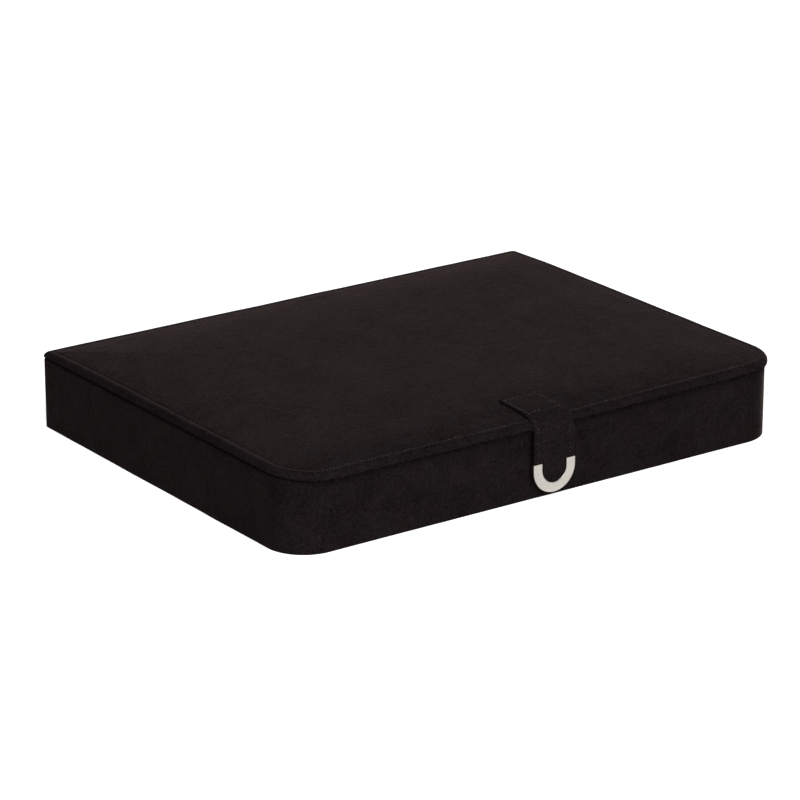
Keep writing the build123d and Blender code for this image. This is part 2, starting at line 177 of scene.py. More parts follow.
def lid_ring(inset, counts):
    """Plan of the lid's cover, drawn in by an inset."""
    back_radius = LID_BACK_CORNER + (SEAM_BACK_CORNER - LID_BACK_CORNER) * min(inset / SEAM_INSET, 1)
    front_radius = max(LID_FRONT_CORNER - inset, SEAM_BACK_CORNER)
    half_width = (LID_RIGHT - LID_LEFT) / 2 - inset
    ring = plan_ring(half_width, LID_FRONT + inset, LID_BACK - inset, front_radius, back_radius, counts)
    ring[:, 0] += (LID_LEFT + LID_RIGHT) / 2
    return ring


def base_ring(inset, counts, corner=FRONT_CORNER, least_back=0.05):
    """Plan of the base's cover, drawn in by an inset; its corner radii run out inward."""
    return plan_ring(
        COVER_HIGH[0] - inset,
        COVER_LOW[1] + inset,
        COVER_HIGH[1] - inset,
        max(corner - inset, 3.0),
        max(BACK_CORNER - inset, least_back),
        counts,
    )


# ------------------------------------------------------------------ materials

class Nodes:
    """Short way to lay out a material's nodes."""

    def __init__(self, name):
        self.material = bpy.data.materials.new(name)
        self.material.use_nodes = True
        self.tree = self.material.node_tree
        self.tree.nodes.clear()
        self.output = self.add("ShaderNodeOutputMaterial")
        self.shader = self.add("ShaderNodeBsdfPrincipled")
        self.link(self.shader.outputs["BSDF"], self.output.inputs["Surface"])
        self.place = self.add("ShaderNodeTexCoord").outputs["Object"]

    def add(self, kind, **settings):
        """New node with its settings."""
        made = self.tree.nodes.new(kind)
        for name, value in settings.items():
            setattr(made, name, value)
        return made

    def link(self, source, target):
        """Join an output to an input."""
        self.tree.links.new(source, target)

    def set(self, **values):
        """Constant values of the shader, each named as its input with _ for a space."""
        for name, value in values.items():
            self.shader.inputs[name.replace("_", " ")].default_value = value

    def stretched(self, scale, turn=(0, 0, 0)):
        """Coordinates turned and then scaled along each axis."""
        turned = self.add("ShaderNodeMapping")
        turned.inputs["Rotation"].default_value = turn
        self.link(self.place, turned.inputs["Vector"])
        scaled = self.add("ShaderNodeMapping")
        scaled.inputs["Scale"].default_value = scale
        self.link(turned.outputs["Vector"], scaled.inputs["Vector"])
        return scaled.outputs["Vector"]

    def noise(self, scale, detail=2.0, roughness=0.5, distortion=0.0, place=None):
        """Noise from 0 to 1 in the object's own coordinates or in given ones."""
        made = self.add("ShaderNodeTexNoise")
        made.inputs["Scale"].default_value = scale
        made.inputs["Detail"].default_value = detail
        made.inputs["Roughness"].default_value = roughness
        made.inputs["Distortion"].default_value = distortion
        self.link(place or self.place, made.inputs["Vector"])
        return made.outputs["Fac"]

    def spread(self, value, low, high, to_low=0.0, to_high=1.0):
        """Value stretched from one range to another and held to it."""
        made = self.add("ShaderNodeMapRange")
        for name, number in zip(("From Min", "From Max", "To Min", "To Max"), (low, high, to_low, to_high)):
            made.inputs[name].default_value = number
        self.link(value, made.inputs["Value"])
        return made.outputs["Result"]

    def math(self, operation, first, second):
        """Sum on two values, each a socket or a number."""
        made = self.add("ShaderNodeMath", operation=operation)
        for socket, value in zip(made.inputs, (first, second)):
            if isinstance(value, (int, float)):
                socket.default_value = value
            else:
                self.link(value, socket)
        return made.outputs[0]

    def mix(self, share, first, second):
        """Mix two colours, each a socket or three numbers."""
        made = self.add("ShaderNodeMix", data_type="RGBA")
        self.link(share, made.inputs[0])
        for socket, value in ((made.inputs[6], first), (made.inputs[7], second)):
            if isinstance(value, tuple):
                socket.default_value = (*value, 1.0)
            else:
                self.link(value, socket)
        return made.outputs[2]

    def total(self, *terms):
        """Sum of values, each with its share and the stretch of it that counts."""
        result = 0.0
        for value, share, reach in terms:
            result = self.math("ADD", result, self.spread(value, 0.5 - reach, 0.5 + reach, 0.0, share))
        return result

    def bump(self, height, distance):
        """Fine relief of a height from 0 to 1, in metres of depth."""
        made = self.add("ShaderNodeBump")
        made.inputs["Strength"].default_value = 1.0
        made.inputs["Distance"].default_value = distance
        self.link(height, made.inputs["Height"])
        self.link(made.outputs["Normal"], self.shader.inputs["Normal"])

    def color(self, socket):
        """Base colour of the shader."""
        self.link(socket, self.shader.inputs["Base Color"])


def suede(name, dark, light, lay, turn=0.0, sheen=0.24, place_name=None):
    """Near-black suede: patches of laid nap, short strokes, grain, light specks and shifts of hue."""
    n = Nodes(name)
    if place_name:
        n.place = n.add("ShaderNodeAttribute", attribute_name=place_name).outputs["Vector"]

    def texture(scale, **settings):
        size = (scale, scale * lay, scale)
        return n.noise(1.0, place=n.stretched(size, turn=(0, 0, turn)), **settings)

    patches = texture(48, detail=5, roughness=0.62, distortion=0.8)
    strokes = texture(150, detail=3, roughness=0.65, distortion=1.4)
    grain = texture(680, detail=3, roughness=0.8)
    specks = n.spread(texture(1150, detail=1), 0.60, 0.76)
    share = n.total((patches, 0.26, 0.18), (strokes, 0.13, 0.18), (grain, 0.46, 0.13), (specks, 0.16, 0.5))
    tone = n.mix(share, dark, light)
    hue = n.spread(texture(75, detail=3), 0.36, 0.64)
    tint = n.mix(hue, (1.05, 0.985, 0.975), (0.95, 1.012, 1.025))
    colored = n.add("ShaderNodeMix", data_type="RGBA", blend_type="MULTIPLY")
    colored.inputs[0].default_value = 1.0
    n.link(tone, colored.inputs[6])
    n.link(tint, colored.inputs[7])
    n.color(colored.outputs[2])
    n.bump(n.total((grain, 0.5, 0.2), (strokes, 0.35, 0.2), (patches, 1.0, 0.25)), 0.00022)
    n.set(Roughness=0.92, Specular_IOR_Level=0.0, Sheen_Weight=sheen, Sheen_Roughness=0.29,
          Sheen_Tint=(1.0, 0.74, 0.70, 1.0))
    return n.material


def make_painted_shade_suede(name, dark, light):
    """Darker suede without sheen: painted shade where the cloth turns under and along cut edges."""
    n = Nodes(name)
    n.color(n.mix(n.spread(n.noise(600, detail=2), 0.35, 0.65), dark, light))
    n.bump(n.noise(420, detail=2), 0.0001)
    n.set(Roughness=1.0, Specular_IOR_Level=0.0)
    return n.material


def velvet(name, dark, light):
    """Short dark pile with soft crushed patches."""
    n = Nodes(name)
    patches = n.noise(60, detail=3, distortion=0.8)
    pile = n.noise(1900, detail=1)
    share = n.math("ADD", n.math("MULTIPLY", n.spread(patches, 0.3, 0.7), 0.55),
                   n.math("MULTIPLY", n.spread(pile, 0.3, 0.7), 0.45))
    n.color(n.mix(share, dark, light))
    n.bump(n.math("ADD", n.math("MULTIPLY", pile, 0.5), patches), 0.0003)
    n.set(Roughness=1.0, Specular_IOR_Level=0.05, Sheen_Weight=0.35, Sheen_Roughness=0.3,
          Sheen_Tint=(0.9, 0.9, 1.0, 1.0))
    return n.material


def thread(name):
    """Twisted thread, a little lighter than the cloth it lies on."""
    n = Nodes(name)
    worn = n.spread(n.noise(330, detail=1), 0.42, 0.64)
    n.color(n.mix(worn, (0.006, 0.005, 0.005), (0.052, 0.047, 0.042)))
    n.bump(n.noise(2400, detail=1), 0.00008)
    n.set(Roughness=0.6, Specular_IOR_Level=0.35, Sheen_Weight=0.2, Sheen_Roughness=0.4)
    return n.material


def metal(name, dark, light, roughness_low, roughness_high, stretch):
    """Finely brushed metal."""
    n = Nodes(name)
    brushed = n.noise(1.0, detail=3, place=n.stretched(stretch))
    smudges = n.noise(140, detail=2)
    n.color(n.mix(n.spread(smudges, 0.3, 0.7), dark, light))
    share = n.math("ADD", n.math("MULTIPLY", brushed, 0.5), n.math("MULTIPLY", smudges, 0.5))
    n.link(n.spread(share, 0.3, 0.7, roughness_low, roughness_high), n.shader.inputs["Roughness"])
    n.bump(brushed, 0.00001)
    n.set(Metallic=1.0)
    return n.material


def board(name, dark, light, scale):
    """Pressed paper board with fibres."""
    n = Nodes(name)
    fibres = n.noise(1.0, detail=4, place=n.stretched((scale, scale * 0.3, scale)))
    n.color(n.mix(n.spread(fibres, 0.3, 0.7), dark, light))
    n.bump(fibres, 0.0001)
    n.set(Roughness=0.9, Specular_IOR_Level=0.2)
    return n.material


SUEDE_DARK = (0.0040, 0.0030, 0.0033)
SUEDE_LIGHT = (0.0275, 0.0206, 0.0225)
STRAP_LIGHT = (0.0305, 0.0230, 0.0250)
suede_base = suede("suede_base", SUEDE_DARK, SUEDE_LIGHT, 1.0)
suede_lid = suede("suede_lid", SUEDE_DARK, SUEDE_LIGHT, 0.5, turn=0.62)
suede_strap = suede("suede_strap", SUEDE_DARK, STRAP_LIGHT, 0.7, sheen=0.18, place_name="rest")
# painted shade: a darker suede without sheen, for the lid's turned-under edge and the strap's cut edges
suede_painted_shade = make_painted_shade_suede("suede_painted_shade", (0.0045, 0.0034, 0.0037), (0.0190, 0.0142, 0.0155))
velvet_lining = velvet("velvet_lining", (0.012, 0.011, 0.013), (0.036, 0.033, 0.041))
seam_thread = thread("seam_thread")
tip_metal = metal("tip_metal", (0.47, 0.435, 0.40), (0.53, 0.495, 0.455), 0.26, 0.36, (400, 400, 3000))
closure_steel = metal("closure_steel", (0.50, 0.50, 0.50), (0.62, 0.62, 0.61), 0.22, 0.34, (900, 900, 900))
magnet_face = board("magnet_face", (0.08, 0.08, 0.085), (0.15, 0.15, 0.16), 900)
grey_board = board("grey_board", (0.28, 0.24, 0.19), (0.42, 0.37, 0.30), 500)
base_paper = board("base_paper", (0.010, 0.009, 0.010), (0.024, 0.022, 0.024), 700)
stiffener_sheet = board("stiffener_sheet", (0.07, 0.07, 0.07), (0.13, 0.13, 0.13), 400)


# ------------------------------------------------------------------ base cover

def make_base_cover():
    """Cloth over the wall: turned under the floor and over the rim, in one closed skin."""
    bottom, top = COVER_LOW[2], COVER_HIGH[2]
    floor, edge, rim = 0.05, 0.4, 1.7
    # section: inset and height, from under the floor up the wall and down its inside
    wall = [(0.0, z) for z in np.linspace(floor + edge, top - rim, 16)]
    section = [(FLOOR_FLANGE, bottom), (3.1, bottom), (2.6, floor)]
    section += arc(edge, floor + edge, edge, edge, 270, 180, 6)
    section += wall[1:-1]
    section += arc(rim, top - rim, rim, rim, 180, 90, 8)
    outside = len(section)
    inner = WALL_INSET + CLOTH
    section += arc(inner - 1.0, top - 1.0, 1.0, 1.0, 90, 0, 5)
    section += [(inner, 42.0), (inner, TURN_IN_BOTTOM), (WALL_INSET, TURN_IN_BOTTOM)]
    section += [(WALL_INSET, top - CLOTH), (CLOTH, top - CLOTH)]
    section += [(CLOTH, bottom + CLOTH), (FLOOR_FLANGE, bottom + CLOTH)]
    counts = (16, 80, 62, 4, 90)
    rings = []
    for place, (inset, z) in enumerate(section):
        ring = base_ring(inset, counts, FRONT_CORNER if place < outside else INNER_CORNER)
        points = at_height(ring, z)
        on_wall = inset < 0.3
        if on_wall or z > top - 0.5:
            rise = (0.10 if on_wall else 0.05) * (waves(points, 60, 3) + 0.5 * waves(points, 22, 4))
            if on_wall:
                points[:, :2] += ring_normals(ring) * rise[:, None]
            else:
                points[:, 2] += rise
        rings.append(points)
    faces = loft_faces(len(rings), len(rings[0]), closed=True)
    return make_mesh("base_cloth", np.concatenate(rings), faces, [suede_base], sharp=70)


# ------------------------------------------------------------------ lid cover

# Places along the lid's rings: front corner, front, side, back corner, back
SEAM_COUNTS = (116, 780, 608, 16, 908)


def seam_path():
    """Line of the sewn seam round the lid, as points and distances along it."""
    ring = lid_ring(SEAM_INSET, SEAM_COUNTS)
    steps = np.linalg.norm(np.roll(ring, -1, 0) - ring, axis=1)
    total = steps.sum()
    places = np.concatenate([[0], np.cumsum(steps)[:-1]])
    count = round(total / STITCH_PITCH)
    return ring, places, total, count


# Section through the lid's edge: insets, heights along the left, heights along the other sides
BAND_TOP = 51.6
SEAM_BOTTOM = (51.38, 51.56)
BAND_END = [(4.9, 51.55, 51.59), (5.35, 51.50, 51.58), (SEAM_INSET, *SEAM_BOTTOM), (5.95, 51.44, 51.58),
            (6.5, 51.61, 51.62)]
PAD_START = [(7.8, 51.74, 51.73), (9.2, 51.87, 51.88), (11, 52.04, 52.04), (13.2, 52.20, 52.20)]
# How deep the stitches pucker the channel, how uneven the cloth is, and above what height
PUCKER, UNEVEN_HEIGHT, UNEVEN_EDGE, UNEVEN_FROM = 0.10, 0.09, 0.10, 48.8
# Heights of the padded middle at insets, and the insets of its rings
PAD_RISE = np.array([(13.2, 52.20), (17, 52.46), (25, 52.92), (33.4, 53.30), (48, 53.65), (67, 53.9),
                     (134, 54.05)])
PAD_INSETS = (15, 18, 22, 27, 33, 40, 48, 57, 67, 78, 90, 102, 114, 126, 134)
# Insets of the flat rings under the turned hem, and how many rings from there on get the painted-shade suede
HEM_INSETS = (LID_FLANGE, 8.0, 4.2)
PAINTED_SHADE_RINGS = len(HEM_INSETS) + 4
# How much the padded edge droops (below 0) or stands up along the front, at places across
FRONT_LIFT = np.array([(-184, -0.85), (-145, -0.9), (-70, -0.9), (-25, -1.2), (30, -1.1), (60, -0.75),
                       (90, -0.3), (120, -0.05), (150, 0.35), (184, 0.4)])
# Insets between which that lift fades out, and how much the right edge stands up
LIFT_FULL, LIFT_END = 5, 24
RIGHT_LIFT = 0.25
# How much the top falls away at the back, and how far from there
BACK_DROP, BACK_REACH = 1.2, 64
# How much the lower edge hangs down along the front, and over what height
LOW_DROOP, DROOP_HEIGHT = 0.6, 4


def lid_lift(points, normals, inset):
    """How far the lid's soft edge lies above its even height."""
    front = np.clip(-normals[:, 1], 0, 1) ** 2 * np.interp(points[:, 0], *FRONT_LIFT.T)
    toward_front = np.clip(0.5 - points[:, 1] / 200, 0, 1)
    right = np.clip(normals[:, 0], 0, 1) ** 2 * (RIGHT_LIFT + RIGHT_LIFT * toward_front)
    return (front + right) * min(max((LIFT_END - inset) / (LIFT_END - LIFT_FULL), 0), 1)


def back_drop(points):
    """How far the lid's top falls away toward its back edge."""
    share = np.clip(1 - (LID_BACK - points[:, 1]) / BACK_REACH, 0, 1)
    return BACK_DROP * share * share * (1.5 - 0.5 * share)


def shallow_share(normals):
    """1 where the sewn channel is shallow, falling to 0 along the left edge."""
    return 1 - np.clip(-normals[:, 0], 0, 1) ** 1.5


def roll(radius, height):
    """Rolled edge of the lid from its lower edge to the top of the band."""
    lower = 1.1
    points = arc(lower, LID_LOW[2] + lower, lower, lower, 270, 180, 5) + [(0.0, height - 0.05)]
    return points + arc(radius, height, radius, BAND_TOP - height, 180, 90, 10)


def strap_share(x):
    """1 under the strap, falling to 0 a little beside it."""
    half, reach = STRAP_HALF - 0.4, 2.2
    share = np.clip(1 - (np.abs(x - STRAP_X) - half) / reach, 0, 1)
    return share * share * (3 - 2 * share)


def press_under_strap(points):
    """Keep the lid's cloth under the strap that is sewn down on it."""
    gap, past_end = 0.05, 0.6
    reached = points[:, 1] < STRAP_BACK + past_end
    lower = np.minimum(points[:, 2], strap_under(points[:, 1]) - gap)
    points[:, 2] += np.where(reached, strap_share(points[:, 0]) * (lower - points[:, 2]), 0)


def lid_edge_rings():
    """Dense rings of the lid's cover: turned hem, rolled edge, sewn channel with puckers."""
    bottom = LID_LOW[2]
    _, places, total, count = seam_path()
    phase = np.cos(places * (2 * math.pi * count / total))
    rings = [at_height(lid_ring(inset, SEAM_COUNTS), bottom) for inset in HEM_INSETS]
    # inset and height at the sides, at the soft front and at the crisp back
    firm, soft, crisp = roll(3.4, 48.1), roll(4.5, 48.0), roll(2.6, 48.9)
    section = [(*a, *b, *c) for a, b, c in zip(firm, soft, crisp)]
    section += [(inset, left_z, inset, z, inset, z) for inset, left_z, z in BAND_END + PAD_START]
    for inset, z, soft_inset, soft_z, back_inset, back_z in section:
        ring = lid_ring(inset, SEAM_COUNTS)
        normals = ring_normals(ring)
        front = np.clip(-normals[:, 1], 0, 1)
        softness, crispness = front**1.5, np.clip(normals[:, 1], 0, 1) ** 1.5
        if inset >= BAND_END[0][0]:
            softness, crispness = shallow_share(normals), 0
        points = at_height(ring, z + (soft_z - z) * softness + (back_z - z) * crispness)
        moved = (soft_inset - inset) * softness + (back_inset - inset) * crispness
        points[:, :2] -= normals * moved[:, None]
        points[:, 2] += lid_lift(points, normals, inset)
        points[:, 2] -= back_drop(points) * min((z - bottom) / 2, 1)
        points[:, 2] -= LOW_DROOP * front**2 * max(1 - (z - bottom) / DROOP_HEIGHT, 0)
        if z > UNEVEN_FROM:
            pull = math.exp(-((inset - SEAM_INSET) ** 2))
            points[:, 2] -= PUCKER * pull * (0.5 + 0.5 * phase)
            points[:, 2] += UNEVEN_HEIGHT * waves(points, 30, 11) * min(inset, 3) / 3
            points[:, :2] += normals * (UNEVEN_EDGE * waves(points, 45, 12) * (1 - pull))[:, None]
            press_under_strap(points)
        rings.append(points)
    return rings


def lid_middle_rings():
    """Rings of the padded middle, where every fourth place is enough."""
    counts = tuple(number // 4 for number in SEAM_COUNTS)
    rings = []
    for inset in PAD_INSETS:
        ring = lid_ring(inset, counts)
        points = at_height(ring, np.interp(inset, *PAD_RISE.T))
        fade = min((inset - 12.8) / 20, 1)
        points[:, 2] += fade * 0.16 * waves(points, 75, 13) + 0.06 * waves(points, 24, 14)
        points[:, 2] += lid_lift(points, ring_normals(ring), inset) - back_drop(points)
        press_under_strap(points)
        rings.append(points)
    return rings


def lid_inside_rings():
    """Dense rings of the inner face of the hem, and then over the board."""
    hem, gap, corner = LID_LOW[2] + CLOTH, 0.35, 1.5
    section = [(LID_FLANGE, hem), (gap, hem), (gap, BOARD_TOP - corner)]
    section += arc(gap + corner, BOARD_TOP - corner, corner, corner, 160, 90, 4)
    return [at_height(lid_ring(inset, SEAM_COUNTS), z) for inset, z in section]


def make_lid_cover():
    """Padded cover of the lid in one closed skin."""
    edge, middle, inside = lid_edge_rings(), lid_middle_rings(), lid_inside_rings()
    dense, coarse = len(edge[0]), len(middle[0])
    step = dense // coarse
    faces = loft_faces(len(edge), dense)
    first = len(edge) * dense
    for i in range(coarse):
        outer = [first - dense + (i * step + k) % dense for k in range(step + 1)]
        faces.append((*outer, first + (i + 1) % coarse, first + i))
    faces += loft_faces(len(middle), coarse, first)
    first += len(middle) * coarse
    faces.append(tuple(range(first - coarse, first)))
    faces += loft_faces(len(inside), dense, first, inward=True)
    for i in range(dense):
        j = (i + 1) % dense
        faces.append((j, i, first + i, first + j))
    first += len(inside) * dense
    faces.append(tuple(reversed(range(first - dense, first))))
    points = np.concatenate(edge + middle + inside)
    made = make_mesh("lid_cloth", points, faces, [suede_lid, suede_painted_shade], sharp=60)
    # the hem and the lower roll take the painted-shade suede, a dark line of painted shade at the parting
    # line
    for polygon in made.data.polygons[:PAINTED_SHADE_RINGS * dense]:
        polygon.material_index = 1
    return made


# ------------------------------------------------------------------ stitches

STITCH_STATIONS, STITCH_SIDES = 7, 6
STITCH_WIDTH = 0.46
STITCH_LEAN = (0.45, 0.15)
STITCH_SCATTER, STITCH_SINK = 0.14, 0.38
# Length of a stitch and how far it arches up, on the lid's seam and on the strap
SEAM_STITCH = (1.8, 0.34)
STRAP_STITCH = (1.9, 0.30)
# How much deeper the stitches lie along the lid's sides, and how far a strap stitch stands off
SIDE_SINK, STRAP_STITCH_RISE = 0.26, 0.02


def stitch_points(origin, along, up, length, width, height):
    """Arched stitch whose ends dive into the cloth, as rings of points."""
    side, sink = np.cross(up, along), 0.16
    points = []
    for t in np.linspace(-1, 1, STITCH_STATIONS):
        fullness = math.sqrt(max(1 - (abs(t) ** 3), 0.05))
        center = origin + along * (t * length / 2) + up * (height * (1 - t * t) - sink)
        for k in range(STITCH_SIDES):
            angle = 2 * math.pi * k / STITCH_SIDES
            points.append(
                center
                + side * (math.cos(angle) * width / 2 * fullness)
                + up * (math.sin(angle) * width / 2 * fullness)
            )
    return points


def make_stitches(name, places, length, height):
    """One mesh of many uneven stitches; each place is an origin, a direction along and one up."""
    rng = np.random.default_rng(21)
    points, faces = [], []
    for origin, along, up in places:
        lean = rng.normal(*STITCH_LEAN)
        side = np.cross(up, along)
        start = len(points)
        points += stitch_points(
            origin + side * rng.normal(0, STITCH_SCATTER) - up * (STITCH_SINK * rng.uniform(0, 1) ** 1.2),
            along * math.cos(lean) + side * math.sin(lean),
            up,
            length * rng.uniform(0.80, 1.05),
            STITCH_WIDTH * rng.uniform(0.75, 1.1),
            height * rng.uniform(0.8, 1.15),
        )
        faces += loft_faces(STITCH_STATIONS, STITCH_SIDES, start)
        faces.append(tuple(reversed(range(start, start + STITCH_SIDES))))
        faces.append(tuple(range(len(points) - STITCH_SIDES, len(points))))
    return make_mesh(name, np.array(points), faces, [seam_thread])


def seam_places():
    """Where the stitches of the lid's seam lie."""
    ring, places, total, count = seam_path()
    normals = ring_normals(ring)
    rise = (SEAM_BOTTOM[1] - SEAM_BOTTOM[0]) * shallow_share(normals)
    heights = SEAM_BOTTOM[0] + rise + lid_lift(ring, normals, SEAM_INSET) - back_drop(ring)
    line = np.column_stack([ring, heights])
    closed_line = np.vstack([line, line[:1]])
    closed_places = np.append(places, total)
    made = []
    for k in range(count):
        middle = (k + 0.5) * total / count
        spot, a, b = (
            np.array([np.interp(s % total, closed_places, closed_line[:, axis]) for axis in range(3)])
            for s in (middle, middle + 0.5, middle - 0.5)
        )
        along = (a - b) / np.linalg.norm(a - b)
        spot[2] -= SIDE_SINK * abs(along[1])
        made.append((spot, along, np.array([0.0, 0.0, 1.0])))
    return made


# ------------------------------------------------------------------ strap

# Line of the strap's outer face in the middle plane, from its sewn back end to its lower end
STRAP_BACK = -109.0
STRAP_FRONT = FLAP_LOW[1] - 0.2
STRAP_END = TIP_LOW[2] + 0.4
STRAP_LINE = [
    (STRAP_BACK, 55.11), (-113.4, 54.99), (-117.4, 54.82), (-121.5, 54.66), (-125.5, 54.45), (-129.5, 54.21),
    (-133.5, 53.84), (-135.5, 53.57), (-137.55, 53.12), (-139.15, 52.58), (-140.6, 51.85), (-141.8, 51.05),
    (-142.8, 50.15), (-143.6, 49.15), (-144.2, 48.09), (-144.65, 46.89), (-145.0, 45.59), (-145.23, 43.58),
    (-145.36, 40.6), (STRAP_FRONT, 36.6), (STRAP_FRONT, 28), (STRAP_FRONT, 18), (STRAP_FRONT, STRAP_END),
]
STRAP_THIN = 1.6
STRAP_THICK = 1.85
UNDER_LOWEST = 46.0


def smooth_line(line, spacing):
    """Evenly spaced points on a softened copy of a line that keeps its ends."""
    line = np.array(line, float)
    for _ in range(2):
        steps = np.append(0, np.cumsum(np.linalg.norm(np.diff(line, axis=0), axis=1)))
        even = np.linspace(0, steps[-1], round(steps[-1] / spacing) + 1)
        line = np.column_stack([np.interp(even, steps, line[:, k]) for k in (0, 1)])
        for _ in range(12):
            line[1:-1] = (line[:-2] + 2 * line[1:-1] + line[2:]) / 4
    return line


OUTER_LINE = smooth_line(STRAP_LINE, 0.3)
OUTER_PLACES = np.append(0, np.cumsum(np.linalg.norm(np.diff(OUTER_LINE, axis=0), axis=1)))
STRAP_RUN = OUTER_PLACES[-1]
OUTER_WAY = np.gradient(OUTER_LINE, OUTER_PLACES, axis=0)
UNDER_LINE = OUTER_LINE + np.column_stack([-OUTER_WAY[:, 1], OUTER_WAY[:, 0]]) * STRAP_THICK


def strap_under(y):
    """Height of the strap's lower face over a place on the lid."""
    keep = UNDER_LINE[:, 1] > UNDER_LOWEST
    return np.interp(-y, -UNDER_LINE[keep, 0], UNDER_LINE[keep, 1])


def strap_frame(distance):
    """Point on the strap's outer face at a distance from its back end, with the way on and out."""
    y, z = (np.interp(distance, OUTER_PLACES, OUTER_LINE[:, k]) for k in (0, 1))
    on_y, on_z = (np.interp(distance, OUTER_PLACES, OUTER_WAY[:, k]) for k in (0, 1))
    length = math.hypot(on_y, on_z)
    on = np.array([0, on_y, on_z]) / length
    out = np.array([0, on_z, -on_y]) / length
    return np.array([STRAP_X, y, z]), on, out


def strap_half_width(distance):
    """Half the strap's width: square back end with small round corners, half-round lower end."""
    half, corner = STRAP_HALF, 1.0
    if distance < corner:
        return half - corner + math.sqrt(max(corner**2 - (corner - distance) ** 2, 0))
    left = STRAP_RUN - distance
    if left < half:
        return math.sqrt(max(half**2 - (half - left) ** 2, 0.0))
    return half


# Rows of stitches: half the distance of the long ones, and where the others and the bend lie
ROW_X = 12.15
BACK_ROW = 2.2
CROSS_ROW = float(np.interp(134.4, -OUTER_LINE[:, 0], OUTER_PLACES))
BEND_END = float(np.interp(-45.0, -OUTER_LINE[:, 1], OUTER_PLACES))
ROW_END = float(np.interp(-TIP_HIGH[2], -OUTER_LINE[:, 1], OUTER_PLACES))
GROOVE_DEPTH, GROOVE_HALF = 0.24, 0.7


def groove_depth(beside, along):
    """Depth of a sewn groove at a distance beside its row and at a place along it."""
    phase = 0.5 + 0.5 * math.cos(2 * math.pi * along / STITCH_PITCH)
    return GROOVE_DEPTH * math.exp(-((beside / GROOVE_HALF) ** 2)) * (0.6 + 0.4 * phase)


def strap_surface(distance, across, side):
    """Height of the strap's face over its outer line, with its rolled edges and sewn grooves."""
    half = strap_half_width(distance)
    from_edge = min(half - abs(across), distance if distance < CROSS_ROW else 99)
    edge, drop, groove = 0.8, 0.0, 0.0
    if from_edge < edge:
        drop = (STRAP_THIN / 2) * (1 - math.sqrt(max(1 - ((edge - from_edge) / edge) ** 2, 0.0)))
    if side < 0:
        thickness = STRAP_THICK
        if distance > BEND_END:
            fullness = min(max((from_edge - 7.0) / 2.0, 0), 1) * min((distance - BEND_END) / 6, 1)
            thickness = STRAP_THIN + (STRAP_INNER + 0.05 - STRAP_FRONT - STRAP_THIN) * fullness
        return -(thickness - drop)
    if distance < ROW_END:
        groove = groove_depth(abs(across) - ROW_X, distance)
        if abs(across) < ROW_X:
            groove = max(groove, *(groove_depth(distance - row, across) for row in (BACK_ROW, CROSS_ROW)))
    return -drop - groove


def make_strap():
    """The whole strap in one piece, sewn end, bend and hanging tab."""
    # rings across the strap, closer together at its ends
    tip_run = 6
    stations = list(np.linspace(0, 1.2, 7)) + list(np.arange(1.7, STRAP_RUN - tip_run, 0.5))
    stations += list(STRAP_RUN - tip_run * np.linspace(1, 0, 14) ** 1.6 - 0.001)
    spread = np.sin(np.linspace(-math.pi / 2, math.pi / 2, 61))
    points, rest = [], []
    for distance in stations:
        middle, on, out = strap_frame(distance)
        half = strap_half_width(distance)
        for side in (1, -1):
            for share in (spread if side > 0 else spread[::-1][1:-1]):
                across = share * half
                height = strap_surface(distance, across, side)
                points.append(middle + np.array([across, 0, 0]) + out * height)
                rest.append((across * MM, distance * MM, height * MM))
    points = np.array(points)
    above_tip = points[:, 2] > 24
    points[:, 2] += np.where(above_tip, 0.05, 0.0) * waves(points, 9, 51)
    size, count = 2 * len(spread) - 2, len(stations)
    faces = loft_faces(count, size, inward=True)
    faces.append(tuple(range(size)))
    faces.append(tuple(reversed(range((count - 1) * size, count * size))))
    made = make_mesh("strap", points, faces, [suede_strap, suede_painted_shade], sharp=75)
    # the strips along the cut edges take the painted-shade suede, painted shade on their side faces
    last = len(spread) - 1
    edges = (0, 1, last - 2, last - 1, last, last + 1, size - 3, size - 2, size - 1)
    for polygon in made.data.polygons[:(count - 1) * size]:
        if polygon.index % size in edges:
            polygon.material_index = 1
    attribute = made.data.attributes.new("rest", "FLOAT_VECTOR", "POINT")
    attribute.data.foreach_set("vector", np.array(rest, np.float32).ravel())
    return made


def strap_stitch_places():
    """Box of stitches on the lid, and the two rows that run on round the bend and down the tab."""
    right = np.array([1.0, 0, 0])
    made = []
    count = round((ROW_END - BACK_ROW) / STITCH_PITCH)
    for k in range(count):
        distance = BACK_ROW + (k + 0.5) * (ROW_END - BACK_ROW) / count
        middle, on, out = strap_frame(distance)
        for x in (-ROW_X, ROW_X):
            height = strap_surface(distance, x, 1) + STRAP_STITCH_RISE
            made.append((middle + right * x + out * height, on, out))
    count = round(2 * ROW_X / STITCH_PITCH)
    for row in (BACK_ROW, CROSS_ROW):
        middle, on, out = strap_frame(row)
        for k in range(count):
            x = -ROW_X + (k + 0.5) * 2 * ROW_X / count
            height = strap_surface(row, x, 1) + STRAP_STITCH_RISE
            made.append((middle + right * x + out * height, right, out))
    return made


# ------------------------------------------------------------------ metal tip

